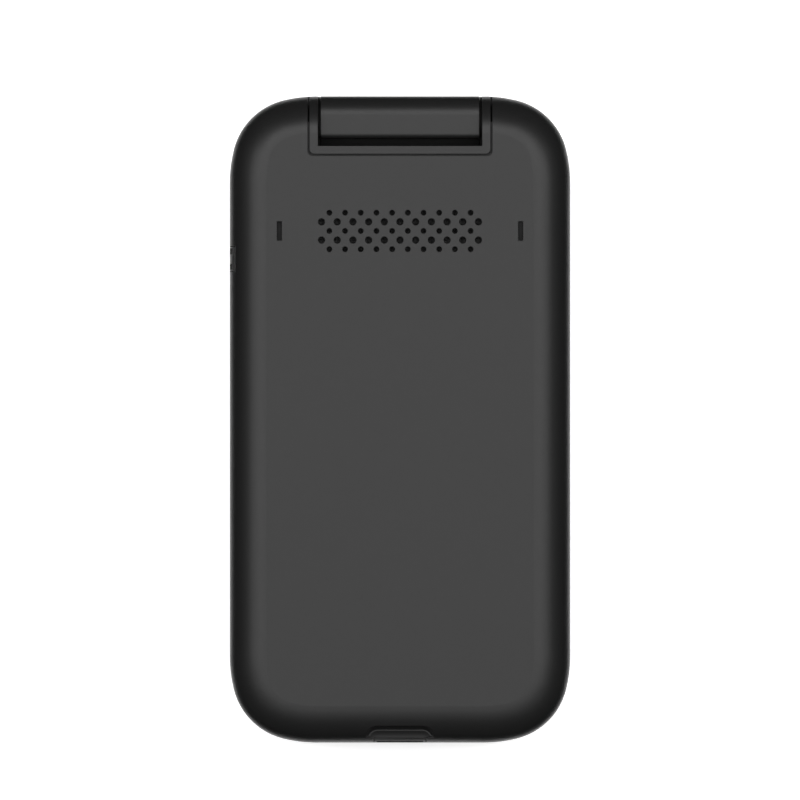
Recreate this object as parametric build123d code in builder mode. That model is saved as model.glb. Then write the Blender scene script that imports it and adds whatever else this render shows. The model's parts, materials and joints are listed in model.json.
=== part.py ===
from build123d import *
import os
from math import cos, radians, sin

# A folding mobile phone, closed and lying on its lid, with the back cover up.
# Millimetres. X runs across the phone, Y along it towards the hinge, and Z from the outer face
# of the lid, on which it lies, up to the back. The origin is on that face, below the middle.

os.makedirs("parts", exist_ok=True)

# ------------------------------------------------------------------ overall form
width = 55.0
length = 104.4
lid_depth = 8.4             # from the lid's outer face to its screen side
closing_gap = 0.4           # between the closed halves
base_depth = 10.1           # from the keypad side to the back
corner_radius = 10.9
shoulder_radius = 22.0      # wider arcs that lead into each corner
shoulder_angle = 14.0
back_round = 6.0            # rim of the back cover
front_round = 3.0           # rim of the lid's outer face
rim_bevel = 0.4             # rims where the two halves meet
inner_bevel = 0.6           # bevel inside a round rim, as a share of the round, which keeps the wall
wall = 1.2
shell_gap = 0.15            # between one shell and another inside it
seat_gap = 0.05             # between a part and the seat that holds it
run_gap = 0.05              # all round a turning or sliding fit
lid_parting = 3.6           # height of the joint between the two lid shells
peg_sides = 12              # small bores, screws and posts have this many sides

lid_top = lid_depth
base_bottom = lid_top + closing_gap
back = base_bottom + base_depth
end_y = length / 2

# ------------------------------------------------------------------ hinge
ear_radius = 4.45
hinge_height = 2.0          # axis, from the keypad side
spine_half = 12.8
spine_side_gap = 0.45       # between the raised back of the spine and the ears
thrust_gap = 0.3            # for a washer between each ear and the round end of the spine
drum_radius = 4.6           # round part of the spine
crest_reach = 2.4           # raised back of the spine, from the axis
crest_height = 5.95
crest_end_round = 3.0
crest_edge_round = 0.8
pocket_radius = 6.6         # pocket of the base round the spine
lip_reach = 3.63            # edge of the pocket on the back, from the axis
lid_end_top = 4.75          # ends of the lid beside the spine, from the axis
lid_end_bottom = 1.9
shaft_radius = 1.8
shaft_flat = 1.3            # flat of the shaft, from its axis
shaft_inner_x = 4.0
socket_depth = 5.2          # how far the ears hold the shaft and the bush
capsule_radius = 2.9
capsule_length = 12.2
bush_radius = 2.8
bush_bore = 2.0
bush_grip = 5.5             # how far the bush reaches into the spine
flex_radius = 1.5
flex_thickness = 0.3
flex_width = 4.0

hinge_y = end_y - ear_radius
hinge_z = base_bottom + hinge_height
pocket_half = spine_half + spine_side_gap
thrust_half = pocket_half - thrust_gap
socket_end = pocket_half + socket_depth

# ------------------------------------------------------------------ back cover
seam_gap = 0.3              # round the fixed frame at the hinge
frame_margin = 1.5          # from the pocket to the middle of that seam, at the sides
frame_lip = 1.45            # the same, along the edge of the pocket
seam_round = 0.8
grille_in = 21.8            # middle of the loudspeaker holes, from the hinge end
grille_pitch = 2.53
grille_row_pitch = 1.47
grille_short_row = 10
grille_short_hole = 0.9
grille_long_hole = 1.15
slot_x = 19.45              # shallow slots beside the holes
slot_width = 0.8
slot_length = 3.1
slot_depth = 0.7
port_boss_width = 8.4       # middle of the seams beside the charging port
port_boss_height = 3.6      # above the joint between the base shells
flare_width = 10.7          # top of the boss, inside the scoop
flare_height = 0.5
flare_lip = 0.15
scoop_width = 11.6          # fingernail scoop above the port
scoop_radius = 2.2
scoop_in = 0.6              # its axis, from the end of the phone
scoop_below = 0.8           # its axis, from the back
eyelet_in = 26.3            # middle of the lanyard eyelet, from the hinge end
eyelet_width = 3.9
eyelet_edge = 0.25          # solid edge at each end of the eyelet
eyelet_bar = 1.5
eyelet_height = 3.6
eyelet_depth = 2.6

grille_y = end_y - grille_in
eyelet_y = end_y - eyelet_in

# ------------------------------------------------------------------ keypad
key_proud = 0.1             # key tops, from the keypad side
field_depth = 0.6           # sunk field round the keys
field_side = 3.9            # margins of that field
field_low = 5.0             # from the far end
field_high = 19.4           # from the hinge end
field_round = 5.0
skin = 0.7                  # thickness of the deck in the field
key_gap = 0.25              # all round each key
key_space = 1.4             # between two keys
key_margin = 1.8            # between the keys and the rim of the field
flange = 0.5                # rim that holds a key behind the deck
flange_thickness = 0.35
key_travel = 0.4
key_chamfer = 0.35
key_round = 2.0
side_key_height = 7.0
side_key_rise = 8.0         # from the middle of the navigation ring to the keys beside it
nav_in = 13.8               # middle of the navigation ring, from the rim of the field
nav_radius = 10.0
nav_bore = 4.7
nav_drop = 0.2              # room for the ring to tilt behind the deck
select_radius = 4.3
select_rim = 1.1            # rim that holds the middle key behind the ring
select_rim_thickness = 0.2
select_room = 0.15          # between that rim and the ring, which tilts
dome_radius = 2.0
dome_height = 0.35
dome_sheet_thickness = 0.2
board_thickness = 0.8
microphone_x = -9.0
microphone_width = 4.0
microphone_hole = 0.4

field_width = width - 2 * field_side
field_length = length - field_low - field_high
field_y = (field_low - field_high) / 2
nav_y = end_y - field_high - nav_in
side_key_edge = field_width / 2 - key_margin
side_key_width = side_key_edge - nav_radius - key_space
side_key_x = side_key_edge - side_key_width / 2
numbers_low = field_low + key_margin - end_y
numbers_high = nav_y - side_key_rise - side_key_height / 2 - 2 * key_space
number_pitch_x = (field_width - 2 * key_margin + key_space) / 3
number_pitch_y = (numbers_high - numbers_low + key_space) / 4
number_key_width = number_pitch_x - key_space
number_key_height = number_pitch_y - key_space

field_floor = base_bottom + field_depth
skin_top = field_floor + skin
key_top = base_bottom - key_proud
flange_z = skin_top + seat_gap
ring_back = flange_z + nav_drop + flange_thickness
select_rim_z = ring_back + select_room
dome_z = flange_z + flange_thickness + key_travel + seat_gap
sheet_z = dome_z + dome_height
board_z = sheet_z + dome_sheet_thickness
board_top = board_z + board_thickness
base_parting = board_top    # height of the joint between the base shells
ledge = 2 * wall            # wall of the deck, which carries the housing as well

# ------------------------------------------------------------------ battery and housing
battery_side = 7.5          # from the battery to the side of the phone
battery_gap = 0.3
bay_wall = 1.4              # between the battery bay and the pockets at its ends
bay_floor = 0.6
board_air = 0.2             # above the bare board
speaker_width = 30.0
speaker_length = 11.4
speaker_depth = 2.75
speaker_round = 2.0
mesh_thickness = 0.2
shield_height = 1.5
shield_width = 33.0
shield_length = 13.0
boss_radius = 1.8
screw_radius = 0.8
screw_head = 1.6
screw_head_height = 0.7
upper_screw_side = 7.0      # from the side of the phone
upper_screw_in = 15.2       # from the hinge end
lower_screw_side = 8.7
lower_screw_in = 4.2        # from the far end
card_in = 34.3              # middle of the card holders, from the hinge end
sim_width = 13.5
sim_length = 9.8
memory_width = 15.5
memory_length = 9.8
card_height = 1.4
card_wall = 0.3
card_pocket_side = 1.2      # room beside the holders
contact_pitch = 3.0
contact_width = 1.6
port_width = 7.4
port_height = 2.45
port_depth = 5.6
port_wall = 0.25
port_recess = 0.6           # front of the socket, from the end of the phone
motor_radius = 2.0
motor_length = 9.0
pocket_in = 9.2             # middle of motor and antenna, from the far end
antenna_width = 14.0
antenna_length = 6.4
side_pocket_pitch = 12.0    # hollows beside the battery
side_pocket_length = 10.0
rocker_in = 38.2            # middle of the volume rocker, from the hinge end
rocker_length = 15.0
rocker_height = 1.9
rocker_sunk = 0.05
rocker_slack = 0.35         # between its rim and the wall, so that it can rock
rocker_rim = 0.6

housing_top = back - wall - shell_gap
bay_z = base_parting + board_air + bay_floor
battery_z = bay_z + seat_gap
battery_top = housing_top - shell_gap
card_y = end_y - card_in
card_pocket = (card_y - memory_length / 2 - key_gap, card_y + memory_length / 2 + key_gap)
pocket_y = pocket_in - end_y
rocker_y = end_y - rocker_in
bay_width = width - 2 * battery_side + 2 * battery_gap
bay = (pocket_y + antenna_length / 2 + key_gap + bay_wall, card_pocket[0] - bay_wall)

# ------------------------------------------------------------------ lid
lens_side = 4.5             # margins of the inner lens
lens_low = 17.2             # from the far end
lens_high = 21.2            # from the hinge end
lens_thickness = 0.6
lens_sunk = 0.1
lens_round = 3.0
screen_side = 2.0           # from the rim of the lens to the screen
screen_end = 3.0
view_side = 1.5             # from the rim of the screen to what is seen of it
view_end = 4.0
screen_thickness = 2.2
outer_lens_width = 30.0
outer_lens_length = 40.0
outer_lens_drop = 4.9       # from the camera ring to the outer lens
outer_lens_thickness = 0.8
outer_screen_width = 27.0
outer_screen_length = 34.0
outer_view_width = 24.0
outer_view_length = 29.0
outer_screen_thickness = 1.4
camera_in = 16.7            # middle of the camera, from the hinge end
camera_radius = 4.6
camera_glass_radius = 3.3
camera_size = 7.0
flash_x = 9.0
flash_radius = 1.6
ear_slot_in = 9.2           # middle of the earpiece slot, from the far end
ear_slot_width = 10.0
ear_slot_height = 1.6
earpiece_width = 12.0
earpiece_length = 7.0
earpiece_depth = 2.2
lid_board_margin = 0.6      # round the board
lid_board_low = 17.9        # from the far end
lid_board_round = 2.0
lid_post_radius = 1.2
lid_post_side = 9.5         # from the side of the phone
lid_post_end = 5.0          # from the rim of the inner lens
lid_screw_side = 4.3
lid_screw_high = 16.2       # from the hinge end
lid_screw_low = 12.2        # from the far end
lid_boss_radius = 2.1
cap_radius = 1.9
cap_thickness = 0.6
pad_side = 11.5
pad_in = 3.8
pad_length = 5.0
pad_width = 2.0
pad_proud = 0.3
magnet_side = 13.5
magnet_in = 8.2
magnet_width = 6.0
magnet_length = 3.0
magnet_depth = 1.6

lens_width = width - 2 * lens_side
lens_length = length - lens_low - lens_high
lens_y = (lens_low - lens_high) / 2
screen_width = lens_width - 2 * screen_side
screen_length = lens_length - 2 * screen_end
screen_view_width = screen_width - 2 * view_side
screen_view_length = screen_length - 2 * view_end
camera_y = end_y - camera_in
outer_lens_y = camera_y - camera_radius - outer_lens_drop - outer_lens_length / 2
ear_slot_y = ear_slot_in - end_y
lid_screw_x = width / 2 - lid_screw_side
lid_post_x = width / 2 - lid_post_side
lid_post_y = lens_length / 2 - lid_post_end
pad_x = width / 2 - pad_side
pad_y = pad_in - end_y
magnet_x = width / 2 - magnet_side
magnet_y = magnet_in - end_y
lid_cavity_end = hinge_y - lid_end_top - 1.4 * wall
lid_board_width = 2 * (lid_screw_x - lid_boss_radius - lid_board_margin)
lid_board_ends = (lid_board_low - end_y, lid_cavity_end - lid_board_margin)
bezel_z = lid_top - wall
lid_board_z = 4.0
lid_board_top = lid_board_z + board_thickness
lid_screws_at = [
    (side * lid_screw_x, y) for side in (-1, 1) for y in (lid_screw_low - end_y, end_y - lid_screw_high)
]
base_screws_at = [
    (side * x, y)
    for side in (-1, 1)
    for x, y in (
        (width / 2 - upper_screw_side, end_y - upper_screw_in),
        (width / 2 - lower_screw_side, lower_screw_in - end_y),
    )
]

# Keys as name, x, y, width and height. The keypad faces down, so its left side is at +X.
number_names = ["1", "2", "3", "4", "5", "6", "7", "8", "9", "star", "0", "hash"]
keys = [
    (
        "key_" + name,
        (1 - index % 3) * number_pitch_x,
        numbers_high - number_key_height / 2 - index // 3 * number_pitch_y,
        number_key_width,
        number_key_height,
    )
    for index, name in enumerate(number_names)
]
keys += [
    ("soft_key_left", side_key_x, nav_y + side_key_rise, side_key_width, side_key_height),
    ("soft_key_right", -side_key_x, nav_y + side_key_rise, side_key_width, side_key_height),
    ("call_key", side_key_x, nav_y - side_key_rise, side_key_width, side_key_height),
    ("end_key", -side_key_x, nav_y - side_key_rise, side_key_width, side_key_height),
]


# ------------------------------------------------------------------ shared forms
def outline(inset=0.0):
    """Draws the plan of the phone, moved in by inset, in the open sketch."""
    turn = radians(shoulder_angle)
    spread = shoulder_radius - corner_radius
    start = shoulder_radius - spread * (cos(turn) - sin(turn))
    side_centre = (width / 2 - shoulder_radius, length / 2 - start)
    end_centre = (width / 2 - start, length / 2 - shoulder_radius)
    corner_centre = (side_centre[0] + spread * cos(turn), side_centre[1] + spread * sin(turn))
    with BuildLine() as rim:
        Line((width / 2 - inset, 0), (width / 2 - inset, side_centre[1]))
        CenterArc(side_centre, shoulder_radius - inset, 0, shoulder_angle)
        CenterArc(corner_centre, corner_radius - inset, shoulder_angle, 90 - 2 * shoulder_angle)
        CenterArc(end_centre, shoulder_radius - inset, 90 - shoulder_angle, shoulder_angle)
        Line((end_centre[0], length / 2 - inset), (0, length / 2 - inset))
        mirror(about=Plane.YZ)
        mirror(about=Plane.XZ)
    make_face(rim.edges())


def slab(inset, bottom, top):
    """Returns a plate of the phone's plan."""
    with BuildPart() as plate:
        with BuildSketch(Plane.XY.offset(bottom)):
            outline(inset)
        extrude(amount=top - bottom)
    return plate.part


def low_rim(part):
    """Returns the edges round the lowest face of a part."""
    return part.faces().sort_by(Axis.Z)[0].edges()


def high_rim(part):
    """Returns the edges round the highest face of a part."""
    return part.faces().sort_by(Axis.Z)[-1].edges()


def block(x_range, y_range, z_range, mode=Mode.ADD):
    """Adds or cuts a box given by its limits in the open part."""
    with BuildSketch(Plane.XY.offset(z_range[0])) as plan:
        with Locations(((x_range[0] + x_range[1]) / 2, (y_range[0] + y_range[1]) / 2)):
            Rectangle(x_range[1] - x_range[0], y_range[1] - y_range[0])
    extrude(plan.sketch, amount=z_range[1] - z_range[0], mode=mode)


def disc(points, radius, z_range, mode=Mode.ADD):
    """Adds or cuts upright cylinders at some points in the open part."""
    with BuildSketch(Plane.XY.offset(z_range[0])) as plan:
        with Locations(*points):
            Circle(radius)
    extrude(plan.sketch, amount=z_range[1] - z_range[0], mode=mode)


def peg(points, radius, z_range, mode=Mode.ADD):
    """Adds or cuts small upright pegs with a few flat sides in the open part."""
    with BuildSketch(Plane.XY.offset(z_range[0])) as plan:
        with Locations(*points):
            RegularPolygon(radius, peg_sides)
    extrude(plan.sketch, amount=z_range[1] - z_range[0], mode=mode)


def panel(centre, size, radius, z_range, mode=Mode.ADD):
    """Adds or cuts a plate with rounded corners in the open part."""
    with BuildSketch(Plane.XY.offset(z_range[0])) as plan:
        with Locations(centre):
            RectangleRounded(size[0], size[1], radius)
    extrude(plan.sketch, amount=z_range[1] - z_range[0], mode=mode)


def hinge_rod(radius, x_range, mode=Mode.ADD):
    """Adds or cuts a cylinder on the hinge axis in the open part."""
    with BuildSketch(Plane.YZ.offset(x_range[0])) as plan:
        with Locations((hinge_y, hinge_z)):
            Circle(radius)
    extrude(plan.sketch, amount=x_range[1] - x_range[0], mode=mode)


def hinge_pocket():
    """Cuts the space in which the spine turns out of the open part."""
    with BuildSketch(Plane.YZ) as plan:
        with Locations((hinge_y, hinge_z)):
            Circle(pocket_radius)
        with Locations((hinge_y - pocket_radius, hinge_z)):
            Rectangle(3 * pocket_radius, 2 * pocket_radius, align=(Align.MIN, Align.MAX))
        with Locations((hinge_y - lip_reach, hinge_z)):
            Rectangle(3 * pocket_radius, base_depth, align=(Align.MIN, Align.MIN))
    extrude(plan.sketch, amount=pocket_half, both=True, mode=Mode.SUBTRACT)


def hinge_sockets():
    """Cuts the seats of the flat-sided shaft and the bush out of the ears in the open part."""
    with BuildSketch(Plane.YZ.offset(pocket_half - seat_gap)) as plan:
        with Locations((hinge_y, hinge_z)):
            Circle(shaft_radius + seat_gap)
        with Locations((hinge_y, hinge_z + shaft_flat + seat_gap)):
            Rectangle(2 * ear_radius, ear_radius, align=(Align.CENTER, Align.MIN), mode=Mode.SUBTRACT)
    extrude(plan.sketch, amount=socket_depth + seat_gap, mode=Mode.SUBTRACT)
    hinge_rod(bush_radius + seat_gap, (-socket_end, -pocket_half + seat_gap), Mode.SUBTRACT)


def key_plan(name, grow=0.0):
    """Draws one key's outline, grown by a margin, in the open sketch."""
    for key, x, y, key_width, key_height in keys:
        if key == name:
            with Locations((x, y)):
                RectangleRounded(key_width + 2 * grow, key_height + 2 * grow, key_round + grow)


def port_boss(grow, mode=Mode.ADD):
    """Adds or cuts the block round the charging port, grown by a margin, in the open part."""
    half = port_boss_width / 2 - shell_gap / 2 + grow
    flare = flare_width / 2 + grow
    low = base_parting
    high = base_parting + port_boss_height
    with BuildSketch(Plane.XZ.offset(end_y - 2 * ledge)) as plan:
        with BuildLine():
            Polyline(
                (-half, low),
                (half, low),
                (half, high - grow),
                (flare, high + flare_height - flare_lip - grow),
                (flare, high + flare_height + grow),
                (-flare, high + flare_height + grow),
                (-flare, high + flare_height - flare_lip - grow),
                (-half, high - grow),
                close=True,
            )
        make_face()
    extrude(plan.sketch, amount=3 * ledge, mode=mode)


def nail_scoop():
    """Cuts the fingernail scoop at the end of the back out of the open part."""
    half = scoop_width / 2 - scoop_radius
    with Locations((0, scoop_in - end_y, back - scoop_below)):
        Cylinder(scoop_radius, 2 * half, rotation=(0, 90, 0), mode=Mode.SUBTRACT)
    with Locations(*[(x, scoop_in - end_y, back - scoop_below) for x in (-half, half)]):
        Sphere(scoop_radius, mode=Mode.SUBTRACT)


# Outer form of the lid: a rounded plate that ends short of the ears, and the spine of the hinge.
with BuildPart() as lid_plate:
    add(slab(0, 0, lid_top))
    fillet(low_rim(lid_plate), front_round)
    chamfer(high_rim(lid_plate), rim_bevel)
with BuildPart() as lid_body:
    add(lid_plate.part)
    for side in (-1, 1):
        with BuildSketch(Plane.YZ.offset(side * thrust_half)):
            with BuildLine():
                Polyline(
                    (hinge_y - lid_end_top, lid_top),
                    (hinge_y - lid_end_bottom, 0),
                    (length, 0),
                    (length, lid_top),
                    close=True,
                )
            make_face()
        extrude(amount=side * width, mode=Mode.SUBTRACT)
    with BuildSketch(Plane.YZ) as spine_side:
        with Locations((end_y, hinge_z)):
            Rectangle(crest_reach + ear_radius, crest_height, align=(Align.MAX, Align.MIN))
        crest = spine_side.vertices().group_by(Axis.Y)[-1].sort_by(Axis.X)
        fillet(crest[0], crest_edge_round)
        crest = spine_side.vertices().group_by(Axis.Y)[-1].sort_by(Axis.X)
        fillet(crest[-1], crest_end_round)
        with Locations((hinge_y, hinge_z)):
            Circle(drum_radius)
        with Locations((end_y, hinge_z)):
            Rectangle(
                drum_radius + ear_radius,
                hinge_z - lid_parting,
                align=(Align.MAX, Align.MAX),
            )
            Rectangle(ear_radius, 3 * ear_radius, align=(Align.MIN, Align.CENTER), mode=Mode.SUBTRACT)
    extrude(amount=spine_half, both=True)
    hinge_rod(ear_radius - seat_gap, (-thrust_half, thrust_half))

# Outer form of the base: a deeper rounded plate with two ears round the hinge axis.
with BuildPart() as base_plate:
    add(slab(0, base_bottom, back))
    fillet(high_rim(base_plate), back_round)
    chamfer(low_rim(base_plate), rim_bevel)
with BuildPart() as ear_limit:
    add(slab(0, 0, back))
    fillet(high_rim(ear_limit), back_round)
with BuildPart() as ears:
    hinge_rod(ear_radius, (-width / 2, width / 2))
    add(ear_limit.part, mode=Mode.INTERSECT)
with BuildPart() as base_body:
    add(base_plate.part)
    with BuildSketch(Plane.YZ):
        with Locations((hinge_y, hinge_z)):
            Rectangle(2 * ear_radius, 2 * ear_radius, align=(Align.MIN, Align.MAX))
            Circle(ear_radius, mode=Mode.SUBTRACT)
    extrude(amount=width, both=True, mode=Mode.SUBTRACT)
    add(ears.part)
    hinge_pocket()

# ------------------------------------------------------------------ lid shells
with BuildPart() as lid_hollow:
    add(slab(wall, wall, bezel_z))
    chamfer(low_rim(lid_hollow), inner_bevel * (front_round - wall))
    block((-width, width), (lid_cavity_end, length), (0, lid_top), Mode.SUBTRACT)

with BuildPart() as lid_cover:
    add(lid_body.part)
    split(bisect_by=Plane.XY.offset(lid_parting), keep=Keep.BOTTOM)
    add(lid_hollow.part, mode=Mode.SUBTRACT)
    peg(lid_screws_at, lid_boss_radius, (wall / 2, lid_board_top))
    peg(
        [(x, lens_y + y) for x in (-lid_post_x, lid_post_x) for y in (-lid_post_y, lid_post_y)],
        lid_post_radius,
        (wall / 2, lid_board_z),
    )
    peg(lid_screws_at, screw_radius + seat_gap, (wall, lid_top), Mode.SUBTRACT)
    panel(
        (0, outer_lens_y),
        (outer_lens_width + 2 * seat_gap, outer_lens_length + 2 * seat_gap),
        lens_round + seat_gap,
        (0, outer_lens_thickness + 2 * seat_gap),
        Mode.SUBTRACT,
    )
    panel((0, outer_lens_y), (outer_view_width, outer_view_length), 1, (0, 2 * wall), Mode.SUBTRACT)
    disc([(0, camera_y)], camera_radius + seat_gap, (0, 2 * wall), Mode.SUBTRACT)
    disc([(flash_x, camera_y)], flash_radius + seat_gap, (0, 2 * wall), Mode.SUBTRACT)
lid_cover.part.label = "lid_cover"
export_step(lid_cover.part, "parts/lid_cover.step")

with BuildPart() as lid_frame:
    add(lid_body.part)
    split(bisect_by=Plane.XY.offset(lid_parting), keep=Keep.TOP)
    add(lid_hollow.part, mode=Mode.SUBTRACT)
    peg(lid_screws_at, lid_boss_radius, (lid_board_top + seat_gap, lid_top - wall / 2))
    peg(lid_screws_at, screw_radius + seat_gap, (lid_parting, lid_top), Mode.SUBTRACT)
    disc(
        lid_screws_at,
        cap_radius + seat_gap,
        (lid_top - cap_thickness - screw_head_height - 3 * seat_gap, lid_top),
        Mode.SUBTRACT,
    )
    panel(
        (0, lens_y),
        (lens_width + 2 * seat_gap, lens_length + 2 * seat_gap),
        lens_round + seat_gap,
        (lid_top - lens_sunk - lens_thickness - seat_gap, lid_top),
        Mode.SUBTRACT,
    )
    panel((0, lens_y), (screen_view_width, screen_view_length), 1, (lid_parting, lid_top), Mode.SUBTRACT)
    with BuildSketch(Plane.XY.offset(lid_parting)):
        with Locations((0, ear_slot_y)):
            SlotOverall(ear_slot_width, ear_slot_height)
        with Locations((-pad_x, pad_y), (pad_x, pad_y)):
            SlotOverall(pad_length + 2 * seat_gap, pad_width + 2 * seat_gap)
    extrude(amount=lid_top - lid_parting, mode=Mode.SUBTRACT)
    block(
        (magnet_x - magnet_width / 2 - wall, magnet_x + magnet_width / 2 + wall),
        (magnet_y - magnet_length / 2 - wall, magnet_y + magnet_length / 2 + wall),
        (bezel_z - magnet_depth / 2, bezel_z),
    )
    block(
        (magnet_x - magnet_width / 2 - seat_gap, magnet_x + magnet_width / 2 + seat_gap),
        (magnet_y - magnet_length / 2 - seat_gap, magnet_y + magnet_length / 2 + seat_gap),
        (bezel_z - 2 * magnet_depth, bezel_z),
        Mode.SUBTRACT,
    )
    hinge_rod(capsule_radius + seat_gap, (spine_half - capsule_length - seat_gap, pocket_half), Mode.SUBTRACT)
    hinge_rod(bush_radius + run_gap, (-pocket_half, bush_grip + seat_gap - spine_half), Mode.SUBTRACT)
    hinge_rod(bush_bore, (-spine_half, bush_grip + flex_width - spine_half), Mode.SUBTRACT)
    flex_x = bush_grip + flex_width / 2 - spine_half
    block(
        (flex_x - flex_width / 2, flex_x + flex_width / 2),
        (hinge_y - flex_radius - flex_thickness, hinge_y - flex_radius + 3 * flex_thickness),
        (lid_board_top, hinge_z),
        Mode.SUBTRACT,
    )
    block(
        (flex_x - flex_width / 2, flex_x + flex_width / 2),
        (lid_cavity_end - wall, hinge_y - flex_radius + 3 * flex_thickness),
        (lid_board_top, lid_board_top + 3 * flex_thickness),
        Mode.SUBTRACT,
    )
lid_frame.part.label = "lid_frame"
export_step(lid_frame.part, "parts/lid_frame.step")

# ------------------------------------------------------------------ pieces of the lid
with BuildPart() as main_lens:
    panel(
        (0, lens_y),
        (lens_width, lens_length),
        lens_round,
        (lid_top - lens_sunk - lens_thickness, lid_top - lens_sunk),
    )
main_lens.part.label = "main_lens"
export_step(main_lens.part, "parts/main_lens.step")

with BuildPart() as main_display:
    panel(
        (0, lens_y),
        (screen_width, screen_length),
        1,
        (bezel_z - 2 * seat_gap - screen_thickness, bezel_z - 2 * seat_gap),
    )
main_display.part.label = "main_display"
export_step(main_display.part, "parts/main_display.step")

with BuildPart() as outer_lens:
    panel(
        (0, outer_lens_y),
        (outer_lens_width, outer_lens_length),
        lens_round,
        (seat_gap, seat_gap + outer_lens_thickness),
    )
outer_lens.part.label = "outer_lens"
export_step(outer_lens.part, "parts/outer_lens.step")

with BuildPart() as outer_display:
    panel(
        (0, outer_lens_y),
        (outer_screen_width, outer_screen_length),
        1,
        (wall + 2 * seat_gap, wall + 2 * seat_gap + outer_screen_thickness),
    )
outer_display.part.label = "outer_display"
export_step(outer_display.part, "parts/outer_display.step")

with BuildPart() as camera_ring:
    disc([(0, camera_y)], camera_radius, (seat_gap, wall))
    disc([(0, camera_y)], camera_glass_radius, (0, wall), Mode.SUBTRACT)
    disc([(0, camera_y)], camera_glass_radius + wall / 2, (seat_gap + wall / 2, wall), Mode.SUBTRACT)
camera_ring.part.label = "camera_ring"
export_step(camera_ring.part, "parts/camera_ring.step")

with BuildPart() as camera_window:
    disc(
        [(0, camera_y)],
        camera_glass_radius + wall / 2 - seat_gap,
        (wall / 2 + 2 * seat_gap, wall - seat_gap),
    )
camera_window.part.label = "camera_window"
export_step(camera_window.part, "parts/camera_window.step")

with BuildPart() as camera_module:
    block(
        (-camera_size / 2, camera_size / 2),
        (camera_y - camera_size / 2, camera_y + camera_size / 2),
        (2 * wall, lid_board_z - seat_gap),
    )
    disc([(0, camera_y)], camera_size / 2 - seat_gap, (wall + 2 * seat_gap, 2 * wall))
camera_module.part.label = "camera_module"
export_step(camera_module.part, "parts/camera_module.step")

with BuildPart() as flash_lens:
    disc([(flash_x, camera_y)], flash_radius, (2 * seat_gap, wall))
flash_lens.part.label = "flash_lens"
export_step(flash_lens.part, "parts/flash_lens.step")

with BuildPart() as lid_board:
    panel(
        (0, sum(lid_board_ends) / 2),
        (lid_board_width, lid_board_ends[1] - lid_board_ends[0]),
        lid_board_round,
        (lid_board_z, lid_board_top),
    )
lid_board.part.label = "lid_board"
export_step(lid_board.part, "parts/lid_board.step")

with BuildPart() as earpiece:
    panel(
        (0, ear_slot_y),
        (earpiece_width, earpiece_length),
        2,
        (bezel_z - seat_gap - earpiece_depth, bezel_z - seat_gap),
    )
earpiece.part.label = "earpiece"
export_step(earpiece.part, "parts/earpiece.step")

with BuildPart() as earpiece_mesh:
    with BuildSketch(Plane.XY.offset(bezel_z + wall / 2)):
        with Locations((0, ear_slot_y)):
            SlotOverall(ear_slot_width - 2 * seat_gap, ear_slot_height - 2 * seat_gap)
    extrude(amount=mesh_thickness)
earpiece_mesh.part.label = "earpiece_mesh"
export_step(earpiece_mesh.part, "parts/earpiece_mesh.step")

with BuildPart() as lid_magnet:
    block(
        (magnet_x - magnet_width / 2, magnet_x + magnet_width / 2),
        (magnet_y - magnet_length / 2, magnet_y + magnet_length / 2),
        (bezel_z - seat_gap - magnet_depth, bezel_z - seat_gap),
    )
lid_magnet.part.label = "lid_magnet"
export_step(lid_magnet.part, "parts/lid_magnet.step")

with BuildPart() as lid_pads:
    with BuildSketch(Plane.XY.offset(bezel_z)):
        with Locations((-pad_x, pad_y), (pad_x, pad_y)):
            SlotOverall(pad_length, pad_width)
    extrude(amount=wall + pad_proud)
lid_pads.part.label = "lid_pads"
export_step(lid_pads.part, "parts/lid_pads.step")

lid_screw_z = lid_top - cap_thickness - screw_head_height - 2 * seat_gap
with BuildPart() as lid_screws:
    peg(lid_screws_at, screw_radius, (2 * wall, lid_screw_z))
    peg(lid_screws_at, screw_head, (lid_screw_z, lid_screw_z + screw_head_height))
lid_screws.part.label = "lid_screws"
export_step(lid_screws.part, "parts/lid_screws.step")

with BuildPart() as lid_screw_caps:
    disc(lid_screws_at, cap_radius, (lid_top - cap_thickness - seat_gap, lid_top - seat_gap))
lid_screw_caps.part.label = "lid_screw_caps"
export_step(lid_screw_caps.part, "parts/lid_screw_caps.step")

# ------------------------------------------------------------------ hinge pieces
with BuildPart() as hinge_capsule:
    hinge_rod(capsule_radius, (spine_half - capsule_length, spine_half - seat_gap))
    hinge_rod(shaft_radius + run_gap, (shaft_inner_x - seat_gap, spine_half), Mode.SUBTRACT)
hinge_capsule.part.label = "hinge_capsule"
export_step(hinge_capsule.part, "parts/hinge_capsule.step")

with BuildPart() as hinge_shaft:
    hinge_rod(shaft_radius, (shaft_inner_x, socket_end - seat_gap))
    with BuildSketch(Plane.YZ.offset(pocket_half)):
        with Locations((hinge_y, hinge_z + shaft_flat)):
            Rectangle(2 * ear_radius, ear_radius, align=(Align.CENTER, Align.MIN))
    extrude(amount=socket_depth, mode=Mode.SUBTRACT)
hinge_shaft.part.label = "hinge_shaft"
export_step(hinge_shaft.part, "parts/hinge_shaft.step")

with BuildPart() as hinge_bush:
    hinge_rod(bush_radius, (seat_gap - socket_end, bush_grip - spine_half))
    hinge_rod(bush_bore, (-socket_end, 0), Mode.SUBTRACT)
hinge_bush.part.label = "hinge_bush"
export_step(hinge_bush.part, "parts/hinge_bush.step")

with BuildPart() as thrust_washers:
    for side, bore in ((1, shaft_radius), (-1, bush_radius)):
        with BuildSketch(Plane.YZ.offset(side * (thrust_half + run_gap))):
            with Locations((hinge_y, hinge_z)):
                Circle(ear_radius - seat_gap)
                Circle(bore + run_gap, mode=Mode.SUBTRACT)
        extrude(amount=side * (thrust_gap - 2 * run_gap))
thrust_washers.part.label = "thrust_washers"
export_step(thrust_washers.part, "parts/thrust_washers.step")

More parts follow.
